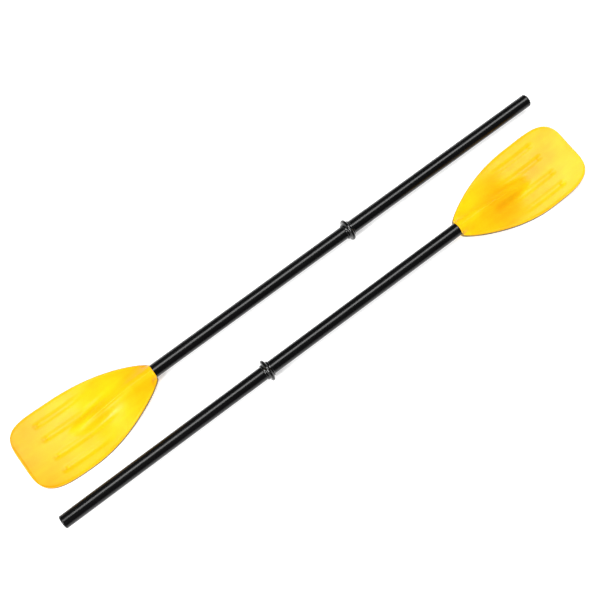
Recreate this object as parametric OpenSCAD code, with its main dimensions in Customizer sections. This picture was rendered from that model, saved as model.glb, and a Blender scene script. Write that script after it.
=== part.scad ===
// A pair of take-apart boat oars, laid side by side, head to tail.
// Each oar has a moulded blade, a two-piece tube shaft joined by a ferrule with a snap
// button, a sliding oarlock ring and a handle end cap.
// Frame: X along the shafts, Z up, origin under the middle of the pair, on the ground.

/* [Oar] */
// Overall length of one oar
oar_l = 1220; // [1100:10:1400]
// Length of the blade past the end of its socket
blade_l = 291; // [250:1:340]
// Distance from the handle end to the joint in the shaft
handle_l = 463; // [400:1:540]
// Distance between the two shafts
oar_spacing = 129; // [110:1:200]
// How far one oar is set back from the other
oar_stagger = 0; // [-40:1:40]

/* [Shaft] */
// Outer diameter of both tubes
tube_d = 27; // [25:0.5:30]
// Wall of both tubes
tube_wall = 1.8; // [1.5:0.1:2.2]
// Gap between the two tubes where they meet
joint_gap = 0.4; // [0.3:0.1:1]
// Length of the ferrule inside the blade tube
ferrule_fixed_l = 60; // [40:1:80]
// Length of the ferrule that the handle tube slides over
ferrule_free_l = 85; // [75:1:100]
// Wall of the ferrule
ferrule_wall = 1.8; // [1.5:0.1:2]
// Radial clearance of the ferrule in the handle tube
ferrule_play = 0.08; // [0.05:0.01:0.1]
// Extra radius of the handle tube's mouth
mouth_swell = 0.2; // [0.1:0.05:0.3]
// Length of the handle tube's mouth
mouth_l = 52; // [48:1:70]

/* [Snap button] */
// Distance from the joint to the button
button_x = 36; // [30:1:42]
// Diameter of the button
button_d = 7; // [6:0.5:8]
// How far the button stands out of the tube
button_stand = 2.2; // [1:0.1:3]
// Width of the leaf spring
leaf_w = 8; // [7:0.5:9]
// Thickness of the leaf spring
leaf_t = 0.8; // [0.5:0.1:1]

/* [Ring and cap] */
// Outer diameter of the ring's flange, which the shaft lies on
ring_d = 46; // [40:1:52]
// Thickness of the ring's flange
flange_t = 7; // [5:0.5:9]
// Length of the ring's hub
hub_l = 17; // [12:1:24]
// Wall of the ring's hub
hub_wall = 2; // [1.5:0.1:3]
// Radial clearance of the ring on the handle tube's mouth
ring_play = 0.35; // [0.3:0.05:0.6]
// Thickness of the end cap's head
cap_t = 4; // [3:0.5:8]
// Length of the end cap's plug
plug_l = 18; // [12:1:30]

/* [Blade] */
// Width of the blade
blade_w = 154; // [130:1:180]
// Thickness of the blade's sheet
sheet_t = 3; // [2.5:0.1:4]
// How far the edge bead stands out of the sheet on each side
bead_h = 0.7; // [0.3:0.1:1]
// Wall of the blade's socket
socket_wall = 2; // [1.6:0.1:3]
// Depth of the tube in the socket
socket_l = 50; // [40:1:60]
// Depth of the sheet below the shaft's axis at the socket
sheet_drop = 6; // [3:0.5:9]
// How far the blade's side edges rise above its middle
cup = 5; // [0:0.5:8]
// How far the tip rises above the belly
tip_rise = 28; // [16:1:34]

/* [Hidden] */
$fn = 64;

tube_r = tube_d / 2;
bore_r = tube_r - tube_wall;
axis_z = ring_d / 2;
neck_x = oar_l - handle_l - blade_l;
place_x = oar_l / 2 - handle_l + oar_stagger / 2;
cut = 1;

// A cylinder along X, from x0 to x1
module rod(r, x0, x1) {
    translate([x0, 0, 0])
        rotate([0, 90, 0])
            cylinder(r = r, h = x1 - x0);
}

// A cylinder along Z, from z0 to z1, at x on the shaft's axis
module post(r, x, z0, z1) {
    translate([x, 0, z0])
        cylinder(r = r, h = z1 - z0);
}

// Puts a piece that is drawn along one oar in its place in the pair.
// In an oar's own frame the joint is at x = 0 and the blade's tip is at the +X end.
module oar_a() {
    translate([place_x, oar_spacing / 2, axis_z])
        rotate([0, 0, 180])
            children();
}

module oar_b() {
    translate([-place_x, -oar_spacing / 2, axis_z])
        children();
}

// ---- Blade ----

socket_r = tube_r + socket_wall;
neck_half_w = socket_r;
widest = 0.66 * blade_l;
flare = 0.77;
tip_squareness = 4;
edge_t = sheet_t + 2 * bead_h;
lowest = 0.57 * blade_l;
belly_drop = axis_z - sheet_t / 2;
bead_w = 5;
roof_l = 0.55 * blade_l;
roof_start = 0.9 * socket_l;
nose_l = 0.3 * blade_l;
nose_r = 5;
rows = 36;
columns = 14;
tip_gap = 0.6;

// Half the blade's width at a distance s from the socket's end
function half_w(s) = s < widest
    ? neck_half_w + (blade_w / 2 - neck_half_w) * pow(sin(90 * s / widest), flare)
    : blade_w / 2 * pow(1 - pow((s - widest) / (blade_l - widest), tip_squareness), 1 / tip_squareness);

// Height of the middle of the sheet, from the shaft's axis: down to the belly and up again to the tip
function sheet_z(s) = s < lowest
    ? -sheet_drop - (belly_drop - sheet_drop) * (1 - cos(180 * s / lowest)) / 2
    : tip_rise * pow((s - lowest) / (blade_l - lowest), 2) - belly_drop;

// Distance of each row of points from the socket's end, closer together at both ends
function row_s(i) = (blade_l - tip_gap) * (1 - cos(180 * i / rows)) / 2;

// Half the thickness at a distance d from the edge: a bead, then the sheet
function half_t(d) = d < bead_w ? edge_t / 2 : sheet_t / 2;

// Distance from the middle of column j, in a row of half width w: the outer two columns are the bead
function column_v(j, w) = let (n = columns / 2, c = j - n, bead = min(bead_w, w / 4))
    sign(c) * (abs(c) >= n - 1 ? w - (n - abs(c)) * bead : abs(c) / (n - 1) * (w - bead));

// From 0 to 1 without a corner
function ease(t) = let (c = min(max(t, 0), 1)) c * c * (3 - 2 * c);

// The roof over the socket: its ridge starts level with the socket's wall and runs out into the sheet
function roof(s, v, w, side) = let (ridge = max(socket_r - side * sheet_z(s) - sheet_t / 2, 0))
    ridge * (1 - ease((s - roof_start) / (roof_l - roof_start))) * (1 - abs(v) / w);

function sheet_points(side) = [
    for (i = [0 : rows], j = [0 : columns])
        let (s = row_s(i), w = half_w(s), v = column_v(j, w), up = cup * pow(2 * v / blade_w, 2))
            [s, v, sheet_z(s) + up + side * (half_t(w - abs(v) + 0.01) + roof(s, v, w, side))]
];

module sheet() {
    n = columns + 1;
    size = (rows + 1) * n;
    tops = sheet_points(1);
    bottoms = sheet_points(-1);
    top_faces = [
        for (i = [0 : rows - 1], j = [0 : columns - 1], k = [0, 1])
            let (p = i * n + j)
                k == 0 ? [p, p + 1, p + n + 1] : [p, p + n + 1, p + n]
    ];
    bottom_faces = [for (f = top_faces) [f[2] + size, f[1] + size, f[0] + size]];
    rim = concat(
        [for (j = [0 : columns - 1]) j],
        [for (i = [0 : rows - 1]) i * n + columns],
        [for (j = [columns : -1 : 1]) rows * n + j],
        [for (i = [rows : -1 : 1]) i * n]
    );
    rim_faces = [
        for (q = [0 : len(rim) - 1], k = [0, 1])
            let (a = rim[q], b = rim[(q + 1) % len(rim)])
                k == 0 ? [a, a + size, b + size] : [a, b + size, b]
    ];
    polyhedron(concat(tops, bottoms), concat(top_faces, bottom_faces, rim_faces));
}

// The ridge that carries the socket's stiffness down the blade
module nose() {
    hull() {
        rod(socket_r, socket_l, socket_l + cut, $fn = 32);
        translate([nose_l, 0, sheet_z(nose_l)])
            sphere(r = nose_r, $fn = 32);
    }
}

rivet_r = 2;
rivet_x = neck_x + 28;
rivet_head_r = 4.2;
rivet_seat_z = 0.6 - socket_r;

module blade() {
    color("gold")
        difference() {
            translate([neck_x, 0, 0]) {
                sheet();
                rod(socket_r, 0, socket_l + cut);
                nose();
            }
            rod(tube_r, neck_x - cut, neck_x + socket_l);
            post(rivet_r, rivet_x, -axis_z, 0);
            post(rivet_head_r + 0.3, rivet_x, -axis_z, rivet_seat_z);
        }
}

// ---- Shaft ----

ferrule_r = bore_r - ferrule_play;
ferrule_bore_r = bore_r - ferrule_wall;
button_r = button_d / 2;
flush_x = 30;
flush_r = 1.6;
flush_head_r = 2.6;
flush_head_t = 1;
flush_z = tube_r - 0.3;

module blade_tube() {
    color("#17181a")
        difference() {
            rod(tube_r, 0, neck_x + socket_l);
            rod(bore_r, -cut, neck_x + socket_l + cut);
            post(rivet_r, rivet_x, -tube_r - cut, 0);
            post(flush_r, flush_x, -tube_r - cut, 0);
            post(flush_head_r, flush_x, -tube_r - cut, flush_head_t - flush_z);
        }
}

module handle_tube() {
    end = -handle_l + cap_t;
    color("#17181a")
        difference() {
            union() {
                rod(tube_r, end, -joint_gap);
                rod(tube_r + mouth_swell, -mouth_l, -joint_gap);
            }
            rod(bore_r, end - cut, 0);
            post(button_r + 0.3, -button_x, -tube_r - cut, 0);
        }
}

module ferrule() {
    nose_t = 2;
    color("#3a3c40")
        difference() {
            union() {
                rod(bore_r, 0, ferrule_fixed_l);
                rod(ferrule_r, nose_t - ferrule_free_l, cut);
                translate([-ferrule_free_l, 0, 0])
                    rotate([0, 90, 0])
                        cylinder(r1 = ferrule_r - 1, r2 = ferrule_r, h = nose_t);
            }
            rod(ferrule_bore_r, -ferrule_free_l - cut, ferrule_fixed_l + cut);
            post(button_r + 0.1, -button_x, -bore_r - cut, 0);
            post(flush_r, flush_x, -bore_r - cut, 0);
        }
}

// A domed rivet through the blade's socket and the tube
module blade_rivet() {
    head_t = 1.6;
    dome_r = (pow(rivet_head_r, 2) + pow(head_t, 2)) / (2 * head_t);
    tail_r = 3.2;
    tail_t = 1.4;
    tail_z = -sqrt(pow(bore_r, 2) - pow(tail_r, 2)) + 0.05;
    color("silver") {
        post(rivet_r, rivet_x, rivet_seat_z, tail_z);
        post(tail_r, rivet_x, tail_z, tail_z + tail_t);
        intersection() {
            post(rivet_head_r, rivet_x, rivet_seat_z - head_t, rivet_seat_z);
            translate([rivet_x, 0, rivet_seat_z - head_t + dome_r])
                sphere(r = dome_r);
        }
    }
}

// A flush rivet through the blade tube and the ferrule
module ferrule_rivet() {
    tail_r = 2.6;
    tail_t = 1.2;
    tail_z = -sqrt(pow(ferrule_bore_r, 2) - pow(tail_r, 2)) + 0.05;
    color("silver") {
        post(flush_head_r, flush_x, -flush_z, flush_head_t - flush_z);
        post(flush_r, flush_x, -flush_z, tail_z);
        post(tail_r, flush_x, tail_z, tail_z + tail_t);
    }
}

// ---- Snap clip ----

leaf_z = -(sqrt(pow(ferrule_bore_r, 2) - pow(leaf_w / 2, 2)) - 0.1);
stem_r = 1.4;
stem_hole_r = 1.6;
clip_end = 24;
clip_l = 38;
bend_r = 2.4;

module snap_button() {
    stem_head_r = 2.6;
    stem_head_t = 0.7;
    dome_h = 1.4;
    out = -(tube_r + button_stand);
    color("silver") {
        post(button_r, -button_x, out + dome_h, leaf_z - 0.05);
        post(stem_r, -button_x, leaf_z - 0.5, leaf_z + leaf_t + stem_head_t);
        post(stem_head_r, -button_x, leaf_z + leaf_t + 0.05, leaf_z + leaf_t + stem_head_t);
        translate([-button_x, 0, out])
            rotate_extrude()
                polygon(concat(
                    [[0, dome_h + 0.5], [button_r, dome_h + 0.5]],
                    [for (a = [0 : 15 : 90]) [button_r * cos(a), dome_h * (1 - sin(a))]]
                ));
    }
}

// A V of spring strip: one leg carries the button and the other leans on the ferrule's far wall
module snap_spring() {
    lean = 18;
    leg = clip_l / cos(lean);
    mid_z = leaf_z + bend_r;
    function around(r) = [for (a = [-90 : 9 : 90 + lean]) [r * cos(a) - clip_end, r * sin(a) + mid_z]];
    function leg_end(r) = [
        r * cos(90 + lean) - leg * cos(lean) - clip_end,
        r * sin(90 + lean) + leg * sin(lean) + mid_z
    ];
    inner = around(bend_r - leaf_t);
    outline = concat(
        [[-clip_end - clip_l, leaf_z]],
        around(bend_r),
        [leg_end(bend_r), leg_end(bend_r - leaf_t)],
        [for (i = [len(inner) - 1 : -1 : 0]) inner[i]],
        [[-clip_end - clip_l, leaf_z + leaf_t]]
    );
    color("lightsteelblue")
        difference() {
            rotate([90, 0, 0])
                linear_extrude(leaf_w, center = true)
                    polygon(outline);
            post(stem_hole_r, -button_x, leaf_z - cut, leaf_z + leaf_t + cut);
        }
}

// ---- Ring and cap ----

ring_bore_r = tube_r + mouth_swell + ring_play;

module oar_ring() {
    hub_r = ring_bore_r + hub_wall;
    rim_r = flange_t / 2;
    edge = 0.8;
    color("#101112")
        rotate([0, 90, 0])
            rotate_extrude() {
                translate([ring_bore_r, -hub_l / 2])
                    square([hub_wall - edge, hub_l]);
                translate([ring_bore_r, edge - hub_l / 2])
                    square([hub_wall, hub_l - 2 * edge]);
                translate([ring_bore_r, -rim_r])
                    square([ring_d / 2 - rim_r - ring_bore_r, flange_t]);
                translate([ring_d / 2 - rim_r, 0])
                    circle(r = rim_r);
            }
}

module end_cap() {
    round_r = 0.7 * cap_t;
    plug_bore_r = bore_r - 2.5;
    color("#101112")
        translate([-handle_l, 0, 0])
            rotate([0, 90, 0])
                difference() {
                    rotate_extrude()
                        polygon(concat(
                            [[0, 0]],
                            [
                                for (a = [-90 : 15 : 0])
                                    [tube_r + round_r * (cos(a) - 1), round_r * (1 + sin(a))]
                            ],
                            [[tube_r, cap_t], [bore_r, cap_t], [bore_r, cap_t + plug_l - 1]],
                            [[bore_r - 1, cap_t + plug_l], [0, cap_t + plug_l]]
                        ));
                    translate([0, 0, cap_t])
                        cylinder(r = plug_bore_r, h = plug_l + cut);
                }
}

oar_a() blade();  // blade_a
oar_a() blade_tube();  // blade_tube_a
oar_a() handle_tube();  // handle_tube_a
oar_a() ferrule();  // ferrule_a
oar_a() oar_ring();  // oar_ring_a
oar_a() end_cap();  // end_cap_a
oar_a() blade_rivet();  // blade_rivet_a
oar_a() ferrule_rivet();  // ferrule_rivet_a
oar_a() snap_button();  // snap_button_a
oar_a() snap_spring();  // snap_spring_a
oar_b() blade();  // blade_b
oar_b() blade_tube();  // blade_tube_b
oar_b() handle_tube();  // handle_tube_b
oar_b() ferrule();  // ferrule_b
oar_b() oar_ring();  // oar_ring_b
oar_b() end_cap();  // end_cap_b
oar_b() blade_rivet();  // blade_rivet_b
oar_b() ferrule_rivet();  // ferrule_rivet_b
oar_b() snap_button();  // snap_button_b
oar_b() snap_spring();  // snap_spring_b
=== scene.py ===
"""A pair of take-apart boat oars on a pale floor: fluted yellow blades on glossy black two-piece shafts."""
import math

import bmesh
import bpy
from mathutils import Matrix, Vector


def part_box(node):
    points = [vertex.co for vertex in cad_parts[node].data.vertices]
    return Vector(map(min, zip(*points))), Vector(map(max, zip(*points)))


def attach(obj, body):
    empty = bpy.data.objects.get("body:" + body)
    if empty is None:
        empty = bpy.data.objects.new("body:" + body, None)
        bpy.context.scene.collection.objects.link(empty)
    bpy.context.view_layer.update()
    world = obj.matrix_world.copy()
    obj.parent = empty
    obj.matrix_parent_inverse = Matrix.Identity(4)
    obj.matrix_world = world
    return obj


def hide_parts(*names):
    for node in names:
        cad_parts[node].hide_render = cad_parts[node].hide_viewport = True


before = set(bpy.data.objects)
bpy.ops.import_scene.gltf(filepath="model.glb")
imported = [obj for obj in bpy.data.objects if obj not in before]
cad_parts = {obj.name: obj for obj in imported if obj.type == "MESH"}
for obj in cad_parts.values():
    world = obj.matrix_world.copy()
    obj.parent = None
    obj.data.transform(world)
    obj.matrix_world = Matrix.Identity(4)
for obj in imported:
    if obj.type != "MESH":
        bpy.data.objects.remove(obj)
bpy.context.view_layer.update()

MM = 0.001

# ---- Camera ----
# Angles in degrees, distances in metres, sensor and lens in millimetres
CAMERA_ELEVATION = 73.8
CAMERA_AZIMUTH = 37.4
CAMERA_DISTANCE = 2.0
CAMERA_AIM = Vector((-0.0102, 0.0133, 0.0))
SENSOR = 36.0
LENS = 61.7
CLIP_END = 50


def make_camera():
    rise = math.radians(CAMERA_ELEVATION)
    turn = math.radians(CAMERA_AZIMUTH)
    away = Vector((-math.sin(turn) * math.cos(rise), -math.cos(turn) * math.cos(rise), math.sin(rise)))
    data = bpy.data.cameras.new("camera")
    data.sensor_width = SENSOR
    data.lens = LENS
    data.clip_end = CLIP_END
    camera = bpy.data.objects.new("camera", data)
    camera.location = CAMERA_AIM + away * CAMERA_DISTANCE
    camera.rotation_euler = (-away).to_track_quat("-Z", "Y").to_euler()
    bpy.context.scene.collection.objects.link(camera)
    bpy.context.scene.camera = camera


make_camera()


# ---- Materials ----
def new_material(name):
    material = bpy.data.materials.new(name)
    material.use_nodes = True
    tree = material.node_tree
    return material, tree, tree.nodes["Principled BSDF"]


def add_node(tree, kind, inputs=None, **settings):
    node = tree.nodes.new(kind)
    for key, value in settings.items():
        setattr(node, key, value)
    for key, value in (inputs or {}).items():
        node.inputs[key].default_value = value
    return node


def object_coordinates(tree):
    return add_node(tree, "ShaderNodeTexCoord").outputs["Object"]


def noise(tree, scale, detail=3.0, roughness=0.5, vector=None):
    node = add_node(tree, "ShaderNodeTexNoise",
                    {"Scale": scale, "Detail": detail, "Roughness": roughness})
    tree.links.new(vector or object_coordinates(tree), node.inputs["Vector"])
    return node.outputs["Fac"]


def stretch(tree, scale, vector=None):
    node = add_node(tree, "ShaderNodeMapping", {"Scale": scale})
    tree.links.new(vector or object_coordinates(tree), node.inputs["Vector"])
    return node.outputs["Vector"]


def remap(tree, value, low, high, to_low, to_high):
    node = add_node(tree, "ShaderNodeMapRange",
                    {"From Min": low, "From Max": high, "To Min": to_low, "To Max": to_high})
    tree.links.new(value, node.inputs["Value"])
    return node.outputs["Result"]


def ramp(tree, value, stops):
    node = add_node(tree, "ShaderNodeValToRGB")
    elements = node.color_ramp.elements
    while len(elements) < len(stops):
        elements.new(0.5)
    for element, (place, colour) in zip(elements, stops):
        element.position = place
        element.color = (*colour, 1.0)
    tree.links.new(value, node.inputs["Fac"])
    return node.outputs["Color"]


def math_node(tree, operation, first, second):
    node = add_node(tree, "ShaderNodeMath", operation=operation)
    for socket, value in zip(node.inputs, (first, second)):
        if isinstance(value, (int, float)):
            socket.default_value = value
        else:
            tree.links.new(value, socket)
    return node.outputs["Value"]


def bump(tree, height, strength, distance, normal=None):
    node = add_node(tree, "ShaderNodeBump", {"Strength": strength, "Distance": distance})
    tree.links.new(height, node.inputs["Height"])
    if normal:
        tree.links.new(normal, node.inputs["Normal"])
    return node.outputs["Normal"]


# The blade's mesh carries this value at each vertex: 1 at the outline and 0 inside it. It marks where shade
# is painted on the rim.
RIM_LAYER = "rim"
# Colour of the painted shade on the rim
RIM_SHADE_COLOUR = (0.05, 0.05, 0.02, 1.0)


def rim_painted_shade(tree, clean, patches):
    """The clean colour, with painted shade on the rim where it turns steep or faces down, a little patchy.
    """
    facing = add_node(tree, "ShaderNodeSeparateXYZ")
    tree.links.new(add_node(tree, "ShaderNodeTexCoord").outputs["Normal"], facing.inputs["Vector"])
    steep = remap(tree, facing.outputs["Z"], 0.35, 0.85, 1.0, 0.1)
    rim = add_node(tree, "ShaderNodeAttribute", attribute_name=RIM_LAYER).outputs["Fac"]
    shaded_rim = math_node(tree, "MULTIPLY", rim, steep)
    patchy = math_node(tree, "MULTIPLY", shaded_rim, remap(tree, patches, 0.3, 0.6, 0.8, 1.0))
    rim_shade = add_node(tree, "ShaderNodeMix", data_type="RGBA")
    rim_shade.inputs["B"].default_value = RIM_SHADE_COLOUR
    tree.links.new(patchy, rim_shade.inputs["Factor"])
    tree.links.new(clean, rim_shade.inputs["A"])
    return rim_shade.outputs["Result"]


def blade_material():
    """Moulded yellow plastic: slightly cloudy, with flow marks, smudges, fine grain and soft waves."""
    material, tree, shader = new_material("blade_yellow")
    shader.inputs["IOR"].default_value = 1.5
    shader.inputs["Specular IOR Level"].default_value = 0.18
    shader.inputs["Subsurface Weight"].default_value = 0.15
    shader.inputs["Subsurface Radius"].default_value = (1.0, 0.7, 0.15)
    shader.inputs["Subsurface Scale"].default_value = 0.001
    clouds = noise(tree, 9.0, 4.0, 0.55)
    flow = noise(tree, 30.0, 3.0, 0.6, stretch(tree, (0.25, 1.6, 1.0)))
    mixed = math_node(tree, "ADD", math_node(tree, "MULTIPLY", clouds, 0.65),
                      math_node(tree, "MULTIPLY", flow, 0.35))
    clean = ramp(tree, mixed, [(0.30, (0.77, 0.325, 0.001)), (0.5, (0.79, 0.415, 0.002)),
                               (0.70, (0.82, 0.50, 0.003))])
    # The rim gets painted shade: darker where it turns steep or faces down
    tree.links.new(rim_painted_shade(tree, clean, flow), shader.inputs["Base Color"])
    smudges = noise(tree, 22.0, 5.0, 0.65)
    tree.links.new(remap(tree, smudges, 0.3, 0.7, 0.30, 0.42), shader.inputs["Roughness"])
    grain = noise(tree, 900.0, 2.0, 0.5)
    waves = noise(tree, 14.0, 2.0, 0.4, stretch(tree, (0.5, 1.2, 1.0)))
    soft = bump(tree, waves, 0.25, 0.0025)
    tree.links.new(bump(tree, grain, 0.06, 0.0003, soft), shader.inputs["Normal"])
    return material


def black_material(name, roughness, specular, grain_scale, drawn):
    """Black plastic or coated tube: gloss with fine drawn lines or moulding grain, and patchy wear."""
    material, tree, shader = new_material(name)
    shader.inputs["IOR"].default_value = 1.5
    shader.inputs["Specular IOR Level"].default_value = specular
    shade = noise(tree, 14.0, 4.0, 0.6)
    colour = ramp(tree, shade, [(0.3, (0.0008, 0.0008, 0.0009)), (0.7, (0.002, 0.002, 0.0022))])
    tree.links.new(colour, shader.inputs["Base Color"])
    along = stretch(tree, (0.03, 1.0, 1.0)) if drawn else None
    wear = noise(tree, grain_scale * 0.25, 5.0, 0.7, along)
    tree.links.new(remap(tree, wear, 0.3, 0.75, roughness * 0.85, roughness * 1.35),
                   shader.inputs["Roughness"])
    grain = noise(tree, grain_scale, 2.0, 0.5, along)
    tree.links.new(bump(tree, grain, 0.08, 0.0002), shader.inputs["Normal"])
    return material


def metal_material(name, colour, roughness):
    material, tree, shader = new_material(name)
    shader.inputs["Metallic"].default_value = 1.0
    tint = noise(tree, 120.0, 3.0, 0.5)
    tree.links.new(ramp(tree, tint, [(0.3, tuple(c * 0.8 for c in colour)), (0.7, colour)]),
                   shader.inputs["Base Color"])
    scratch = noise(tree, 900.0, 3.0, 0.6, stretch(tree, (0.1, 1.0, 1.0)))
    tree.links.new(remap(tree, scratch, 0.3, 0.7, roughness * 0.8, roughness * 1.3),
                   shader.inputs["Roughness"])
    tree.links.new(bump(tree, scratch, 0.05, 0.0001), shader.inputs["Normal"])
    return material


FLOOR_GLOW = 0.55


def floor_material():
    """A pale floor: matt, with a glow of its own."""
    material, tree, shader = new_material("floor_white")
    tone = noise(tree, 1.5, 2.0, 0.5)
    tree.links.new(ramp(tree, tone, [(0.3, (0.64, 0.64, 0.64)), (0.7, (0.66, 0.66, 0.66))]),
                   shader.inputs["Base Color"])
    shader.inputs["Roughness"].default_value = 0.9
    shader.inputs["Specular IOR Level"].default_value = 0.1
    shader.inputs["Emission Color"].default_value = (1, 1, 1, 1)
    shader.inputs["Emission Strength"].default_value = FLOOR_GLOW
    return material


YELLOW = blade_material()
TUBE_BLACK = black_material("tube_black", 0.21, 0.31, 900.0, True)
RING_BLACK = black_material("ring_black", 0.11, 0.5, 700.0, False)
CAP_BLACK = black_material("cap_black", 0.34, 0.3, 1200.0, False)
FERRULE_GREY = black_material("ferrule_grey", 0.45, 0.3, 900.0, True)
RIVET_METAL = metal_material("rivet_metal", (0.75, 0.75, 0.77), 0.32)
SPRING_STEEL = metal_material("spring_steel", (0.55, 0.56, 0.58), 0.25)


# ---- Blade ----
# All in an oar's own terms: s runs from the socket's mouth to the tip, v across the blade and z up
# from the shaft's axis. Names that end in _AT are shares of the blade's length, and names that end in
# _S are places along it.
SHEET_T = 3.0 * MM
# How far the rim stands above the sheet's middle and hangs below it. It hangs its full depth from
# RIM_FULL_S on.
RIM_RISE = 2.2 * MM
RIM_DROP = 5.4 * MM
RIM_FULL_S = 45 * MM
# Share of the rim's height, above (1) and below (-1), that it has at the outline itself
RIM_WALL = {1: 0.2, -1: 0.75}
EDGE_BAND = 6 * MM
# Share of the edge band that has the rim's full height
BEAD_SHARE = 0.3
SHEET_DROP = 6 * MM
TIP_RISE = 28 * MM
CUP = 5 * MM
FLARE = 0.77
TIP_SQUARENESS = 4.0
WIDEST_AT = 0.66
BELLY_AT = 0.57
ROOF_END_AT = 0.55
FLOOR_GAP = 0.2 * MM

SOCKET_WALL = 2 * MM
SOCKET_L = 50 * MM
LIP_H = 0.6 * MM
LIP_L = 3 * MM
LIP_ROUNDING = 0.6 * MM
# How steeply the socket's height falls beyond its own radius
SKIRT_SLOPE = 4
SHOULDER_S = 16 * MM
BORE_PLAY = 0.05 * MM
NOSE_SLOPE = 0.25
BLEND = 5 * MM
RIVET_S = 28 * MM
RIVET_SEAT_R = 4.5 * MM

# Four grooves run along the blade, each with a small dimple at its tip end: place across, and start
GROOVE_END = 243 * MM
GROOVES = [(-50 * MM, 106 * MM), (-20 * MM, 62 * MM), (20 * MM, 62 * MM), (50 * MM, 106 * MM)]
GROOVE_RUN_IN = 60 * MM
GROOVE_HALF_W = 9 * MM
GROOVE_DEPTH = 1.3 * MM
# Share of a groove's depth that shows on the underside
GROOVE_BELOW = 0.5
DIMPLE_R = 4 * MM
DIMPLE_DEPTH = 1.3 * MM
CREST_HALF_W = 4.5 * MM
CREST_H = 1.6 * MM
CREST_RISE = (50 * MM, 90 * MM)
CREST_FALL = (120 * MM, 170 * MM)

# Width of the painted shade along the outline
RIM_SHADE_BAND = 3.5 * MM

ROWS = 200
COLUMNS = 130
TIP_INSET = 0.02 * MM


def smooth(x, low, high):
    x = min(max((x - low) / (high - low), 0.0), 1.0)
    return x * x * (3 - 2 * x)


def hump(x):
    """A bump's height from 1 at x = 0 to 0 at x = 1, flat at both."""
    return (math.cos(math.pi * x) + 1) / 2


def soft_max(a, b, width):
    """The larger of two heights, with a fillet where they cross."""
    h = max(width - abs(a - b), 0.0) / width
    return max(a, b) + h * h * width / 4


class Blade:
    """One blade's measures, taken from its CAD solid and its tube, and the heights of its two faces."""

    def __init__(self, letter, towards):
        low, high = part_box("blade_" + letter)
        tube_low, tube_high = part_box("blade_tube_" + letter)
        self.towards = towards
        self.length = high.x - low.x
        self.half_w = (high.y - low.y) / 2
        self.neck_x = low.x if towards > 0 else high.x
        self.axis_y = (tube_low.y + tube_high.y) / 2
        self.axis_z = (tube_low.z + tube_high.z) / 2
        self.tube_r = (tube_high.z - tube_low.z) / 2
        self.socket_r = self.tube_r + SOCKET_WALL
        self.widest = WIDEST_AT * self.length
        self.belly = BELLY_AT * self.length
        self.roof_l = ROOF_END_AT * self.length
        self.belly_drop = self.axis_z - SHEET_T / 2

    def place(self, s, v, z):
        d = self.towards
        return (self.neck_x + d * s, self.axis_y + d * v, self.axis_z + z)

    def edge(self, s):
        """Half the blade's width at s."""
        if s < self.widest:
            rise = math.sin(math.pi / 2 * s / self.widest) ** FLARE
            return self.socket_r + (self.half_w - self.socket_r) * rise
        reach = min((s - self.widest) / (self.length - self.widest), 1.0)
        return self.half_w * (1 - reach ** TIP_SQUARENESS) ** (1 / TIP_SQUARENESS)

    def sheet(self, s):
        """Height of the middle of the sheet on the centre line."""
        if s < self.belly:
            fall = (1 - math.cos(math.pi * s / self.belly)) / 2
            return -SHEET_DROP - (self.belly_drop - SHEET_DROP) * fall
        return TIP_RISE * ((s - self.belly) / (self.length - self.belly)) ** 2 - self.belly_drop

    def half_t(self, s, margin, side):
        """From the sheet's middle to its top or bottom face, at a distance from the edge."""
        bead = 1 - smooth(margin, BEAD_SHARE * EDGE_BAND, EDGE_BAND)
        drop = RIM_RISE + (RIM_DROP - RIM_RISE) * smooth(s, LIP_L, RIM_FULL_S)
        depth = RIM_RISE if side > 0 else drop
        wall = RIM_WALL[side]
        inside = min(margin / RIM_RISE, 1.0)
        rounding = wall + (1 - wall) * math.sqrt(1 - (1 - inside) ** 2)
        return (SHEET_T / 2 + (depth - SHEET_T / 2) * bead) * rounding

    def socket(self, s, v):
        """Height of the round socket's wall above the axis."""
        lip = LIP_H * (1 - smooth(s, LIP_L * 0.6, LIP_L * 1.4))
        edge = LIP_ROUNDING * max(1 - s / LIP_ROUNDING, 0.0) ** 2
        r = self.socket_r - LIP_H + lip - edge
        height = math.sqrt(r * r - v * v) if abs(v) < r else (r - abs(v)) * SKIRT_SLOPE
        if abs(v) > r * math.sqrt(0.5):
            shoulder = r * math.sqrt(2) - abs(v)
            height += (shoulder - height) * smooth(s, LIP_L, SHOULDER_S)
        return height - NOSE_SLOPE * max(s - SOCKET_L, 0.0)

    def ridge(self, s, side, flat):
        """How far the roof's ridge stands off the flat of the sheet, above (side 1) or below (side -1)."""
        full = self.socket_r - LIP_H * 0.5 - side * flat
        return max(full, 0.0) * (1 - smooth(s, SOCKET_L * 0.9, self.roof_l))

    def face_height(self, s, v, side):
        w = self.edge(s)
        margin = min(w - abs(v), self.length - s)
        middle = self.sheet(s) + CUP * (v / self.half_w) ** 2
        flat = middle + side * self.half_t(s, margin, side)
        roof = self.ridge(s, side, self.sheet(s) + side * SHEET_T / 2) * (1 - abs(v) / w)
        z = side * soft_max(side * flat + roof, self.socket(s, v), BLEND)
        inside = smooth(margin, EDGE_BAND, EDGE_BAND * 1.5)
        if side > 0:
            return z + crest_height(s, v) - groove_depth(s, v) * inside
        z -= groove_depth(s, v) * GROOVE_BELOW * inside
        if math.hypot(s - RIVET_S, v) < RIVET_SEAT_R:
            z = max(z, -self.tube_r - SOCKET_WALL + LIP_H)
        return max(z, FLOOR_GAP - self.axis_z)


def groove_depth(s, v):
    """How far the top face lies below the smooth sheet."""
    total = 0.0
    for middle, start in GROOVES:
        end = GROOVE_END - GROOVE_HALF_W
        across = math.hypot(v - middle, max(s - end, 0.0)) / GROOVE_HALF_W
        if across < 1.0:
            run_in = smooth(s, start, start + GROOVE_RUN_IN)
            total += GROOVE_DEPTH * run_in * hump(across)
        from_end = math.hypot(v - middle, s - end + DIMPLE_R) / DIMPLE_R
        if from_end < 1.0:
            total += DIMPLE_DEPTH * hump(from_end)
    return total


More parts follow.
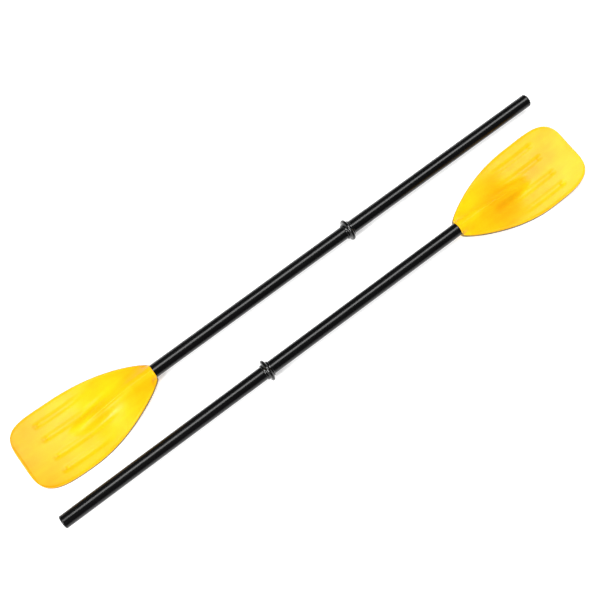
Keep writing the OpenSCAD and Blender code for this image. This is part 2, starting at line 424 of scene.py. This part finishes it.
def crest_height(s, v):
    """The narrow ridge down the middle, from the socket to about half-way."""
    across = abs(v) / CREST_HALF_W
    if across >= 1.0:
        return 0.0
    fade = smooth(s, *CREST_RISE) * (1 - smooth(s, *CREST_FALL))
    return CREST_H * fade * hump(across)


def row_places(length, count):
    """Places along the blade, closer together at the tip and at the socket."""
    return [length * (1 - math.cos(math.pi * i / count)) / 2 for i in range(count + 1)]


def column_places(count):
    """Places across from -1 to 1, closer together at the edges."""
    evenly = [2 * j / count - 1 for j in range(count + 1)]
    return [(math.sin(math.pi / 2 * t) + t) / 2 for t in evenly]


def add_piece(name, mesh, material, body, replaced):
    """Turns a bmesh, already in place, into a piece that rides on a body and stands for a CAD node."""
    bmesh.ops.recalc_face_normals(mesh, faces=mesh.faces)
    data = bpy.data.meshes.new(name)
    mesh.to_mesh(data)
    mesh.free()
    for polygon in data.polygons:
        polygon.use_smooth = True
    data.materials.append(material)
    piece = bpy.data.objects.new(name, data)
    bpy.context.scene.collection.objects.link(piece)
    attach(piece, body)
    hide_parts(replaced)


def add_band(mesh, loop, other):
    """Quads between two closed loops of the same number of points."""
    for k in range(len(loop)):
        n = (k + 1) % len(loop)
        mesh.faces.new((loop[k], loop[n], other[n], other[k]))


def make_blade(letter, towards):
    """Two faces of rows and columns joined round the rim, and the socket's bore, as one closed mesh."""
    b = Blade(letter, towards)
    mesh = bmesh.new()
    rim = mesh.verts.layers.float.new(RIM_LAYER)
    grid = {1: [], -1: []}
    for s in row_places(b.length - TIP_INSET, ROWS):
        w = b.edge(s)
        for side in (1, -1):
            row = []
            for t in column_places(COLUMNS):
                vert = mesh.verts.new(b.place(s, t * w, b.face_height(s, t * w, side)))
                margin = min(w * (1 - abs(t)), b.length - s)
                # How much painted shade each vertex takes, by its distance from the outline
                vert[rim] = 1 - smooth(margin, RIM_SHADE_BAND * 0.4, RIM_SHADE_BAND)
                row.append(vert)
            grid[side].append(row)
    for side in (1, -1):
        for upper, lower in zip(grid[side], grid[side][1:]):
            for j in range(COLUMNS):
                mesh.faces.new((upper[j], lower[j], lower[j + 1], upper[j + 1]))
    sides = ([(i, COLUMNS) for i in range(ROWS + 1)] + [(ROWS, j) for j in range(COLUMNS - 1, -1, -1)]
             + [(i, 0) for i in range(ROWS - 1, -1, -1)])
    for (i, j), (k, m) in zip(sides, sides[1:]):
        mesh.faces.new((grid[1][i][j], grid[1][k][m], grid[-1][k][m], grid[-1][i][j]))
    mouth = grid[1][0] + grid[-1][0][::-1]
    bore_r = b.tube_r + BORE_PLAY
    loops = [mouth]
    for s in (0.0, SOCKET_L):
        ring = []
        for vert in mouth:
            away = Vector((vert.co.y - b.axis_y, vert.co.z - b.axis_z)).normalized() * bore_r
            ring.append(mesh.verts.new((b.neck_x + towards * s, b.axis_y + away.x, b.axis_z + away.y)))
        loops.append(ring)
    for loop, other in zip(loops, loops[1:]):
        add_band(mesh, loop, other)
    mesh.faces.new(loops[-1])
    add_piece("blade_skin_" + letter, mesh, YELLOW, "oar_" + letter, "blade_" + letter)


for letter, towards in (("a", -1), ("b", 1)):
    make_blade(letter, towards)


# ---- Oarlock ring and handle cap ----
TURN_STEPS = 96


def arc(centre, radius, start, end, steps):
    """Points (x, r) on an arc, with angles in degrees from the x axis."""
    angles = [math.radians(start + (end - start) * i / steps) for i in range(steps + 1)]
    return [(centre[0] + radius * math.cos(a), centre[1] + radius * math.sin(a)) for a in angles]


def turned_mesh(profile, centre, closed):
    """A solid of revolution about the X axis through centre. A profile point with r = 0 is a pole."""
    mesh = bmesh.new()
    loops = []
    for x, r in profile:
        if r <= 0:
            loops.append([mesh.verts.new((centre.x + x, centre.y, centre.z))])
            continue
        turns = [2 * math.pi * k / TURN_STEPS for k in range(TURN_STEPS)]
        loops.append([mesh.verts.new((centre.x + x, centre.y + r * math.cos(a), centre.z + r * math.sin(a)))
                      for a in turns])
    pairs = list(zip(loops, loops[1:])) + ([(loops[-1], loops[0])] if closed else [])
    for loop, other in pairs:
        if len(loop) == 1 or len(other) == 1:
            pole, rim = (loop[0], other) if len(loop) == 1 else (other[0], loop)
            for k in range(TURN_STEPS):
                mesh.faces.new((pole, rim[k], rim[(k + 1) % TURN_STEPS]))
        else:
            add_band(mesh, loop, other)
    return mesh


RING_BORE_R = 14.05 * MM
HUB_R = 16.05 * MM
HUB_ROUNDING = 1.6 * MM
RIM_R = 3.5 * MM
FILLET_R = 2.2 * MM
# The parting line's height, and half its width at the foot and at the top
PARTING_H = 0.12 * MM
PARTING_FOOT = 0.14 * MM
PARTING_TOP = 0.08 * MM


def make_ring(letter):
    """The ring turned from one half profile: bore, rounded hub, fillet and rim with a fine parting line."""
    low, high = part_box("oar_ring_" + letter)
    centre = (low + high) / 2
    half_l = (high.x - low.x) / 2
    outer = (high.z - low.z) / 2 - PARTING_H
    hub_centre = HUB_R - HUB_ROUNDING
    mouth = -math.degrees(math.asin((hub_centre - RING_BORE_R) / HUB_ROUNDING))
    half = [(0.0, RING_BORE_R), (half_l * 0.5, RING_BORE_R)]
    half += arc((half_l - HUB_ROUNDING, hub_centre), HUB_ROUNDING, mouth, 90, 8)
    half += arc((RIM_R + FILLET_R, HUB_R + FILLET_R), FILLET_R, -90, -180, 8)
    half += arc((0.0, outer - RIM_R), RIM_R, 0, 86, 14)
    half += [(PARTING_FOOT, outer), (PARTING_TOP, outer + PARTING_H)]
    profile = half[1:] + [(-x, r) for x, r in reversed(half)]
    mesh = turned_mesh(profile, centre, True)
    add_piece("ring_skin_" + letter, mesh, RING_BLACK, "ring_" + letter, "oar_ring_" + letter)


CAP_HEAD = 4 * MM
CAP_ROUNDING = 2.8 * MM
CAP_SEAM = 0.35 * MM
CAP_PLUG_WALL = 2.5 * MM
CAP_CHAMFER = 1 * MM
TUBE_WALL = 1.8 * MM


def make_cap(letter, outward):
    """The cap turned from its outer face inwards: rounded head, seam at the tube's end, hollow plug."""
    low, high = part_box("end_cap_" + letter)
    length = high.x - low.x
    outer_r = (high.z - low.z) / 2
    plug_r = outer_r - TUBE_WALL
    end = Vector((high.x if outward > 0 else low.x, (low.y + high.y) / 2, (low.z + high.z) / 2))
    profile = [(0.0, 0.0)]
    profile += arc((CAP_ROUNDING, outer_r - CAP_ROUNDING), CAP_ROUNDING, 180, 90, 10)
    profile += [(CAP_HEAD - 2 * CAP_SEAM, outer_r), (CAP_HEAD - CAP_SEAM, outer_r - CAP_SEAM)]
    profile += [(CAP_HEAD, outer_r - CAP_SEAM), (CAP_HEAD, plug_r), (length - CAP_CHAMFER, plug_r)]
    profile += [(length, plug_r - CAP_CHAMFER), (length, plug_r - CAP_PLUG_WALL)]
    profile += [(CAP_HEAD, plug_r - CAP_PLUG_WALL), (CAP_HEAD, 0.0)]
    mesh = turned_mesh([(-outward * x, r) for x, r in profile], end, False)
    body = "handle_section_" + letter
    add_piece("cap_skin_" + letter, mesh, CAP_BLACK, body, "end_cap_" + letter)


for letter, outward in (("a", 1), ("b", -1)):
    make_ring(letter)
    make_cap(letter, outward)

# ---- CAD nodes that stay, with their materials ----
KEPT = {
    "blade_tube": TUBE_BLACK,
    "handle_tube": TUBE_BLACK,
    "ferrule": FERRULE_GREY,
    "blade_rivet": RIVET_METAL,
    "ferrule_rivet": RIVET_METAL,
    "snap_button": CAP_BLACK,
    "snap_spring": SPRING_STEEL,
}
for kind, material in KEPT.items():
    for letter in "ab":
        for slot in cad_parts[kind + "_" + letter].material_slots:
            slot.material = material


# ---- Floor and light ----
# Places and sizes in metres, powers in watts
FLOOR_SIZE = 60.0
FLOOR_DROP = 0.2 * MM
STRIP_PLACE = (0.5, 0.38, 2.1)
STRIP_SIZE = (2.9, 0.85)
STRIP_POWER = 68
KEY_PLACE = (-3.4, -0.8, 2.3)
KEY_SIZE = (1.8, 1.8)
KEY_POWER = 205
WORLD_STRENGTH = 0.1


def make_floor():
    data = bpy.data.meshes.new("floor")
    half = FLOOR_SIZE / 2
    data.from_pydata([(-half, -half, 0), (half, -half, 0), (half, half, 0), (-half, half, 0)], [],
                     [(0, 1, 2, 3)])
    data.materials.append(floor_material())
    floor = bpy.data.objects.new("floor", data)
    floor.location.z = -FLOOR_DROP
    bpy.context.scene.collection.objects.link(floor)


def make_area_light(name, place, size, power, aim):
    data = bpy.data.lights.new(name, "AREA")
    data.shape = "RECTANGLE"
    data.size, data.size_y = size
    data.energy = power
    light = bpy.data.objects.new(name, data)
    light.location = place
    light.rotation_euler = (Vector(aim) - Vector(place)).to_track_quat("-Z", "Y").to_euler()
    bpy.context.scene.collection.objects.link(light)


def make_world():
    world = bpy.data.worlds.new("world")
    world.use_nodes = True
    background = world.node_tree.nodes["Background"]
    background.inputs["Color"].default_value = (1, 1, 1, 1)
    background.inputs["Strength"].default_value = WORLD_STRENGTH
    bpy.context.scene.world = world


make_floor()
# The strip hangs level above the pair and to one side, along the shafts, and draws the streak on them
make_area_light("strip", STRIP_PLACE, STRIP_SIZE, STRIP_POWER, (STRIP_PLACE[0], STRIP_PLACE[1], 0))
make_area_light("key", KEY_PLACE, KEY_SIZE, KEY_POWER, (0, 0, 0))
make_world()
bpy.context.scene.view_settings.view_transform = "Standard"
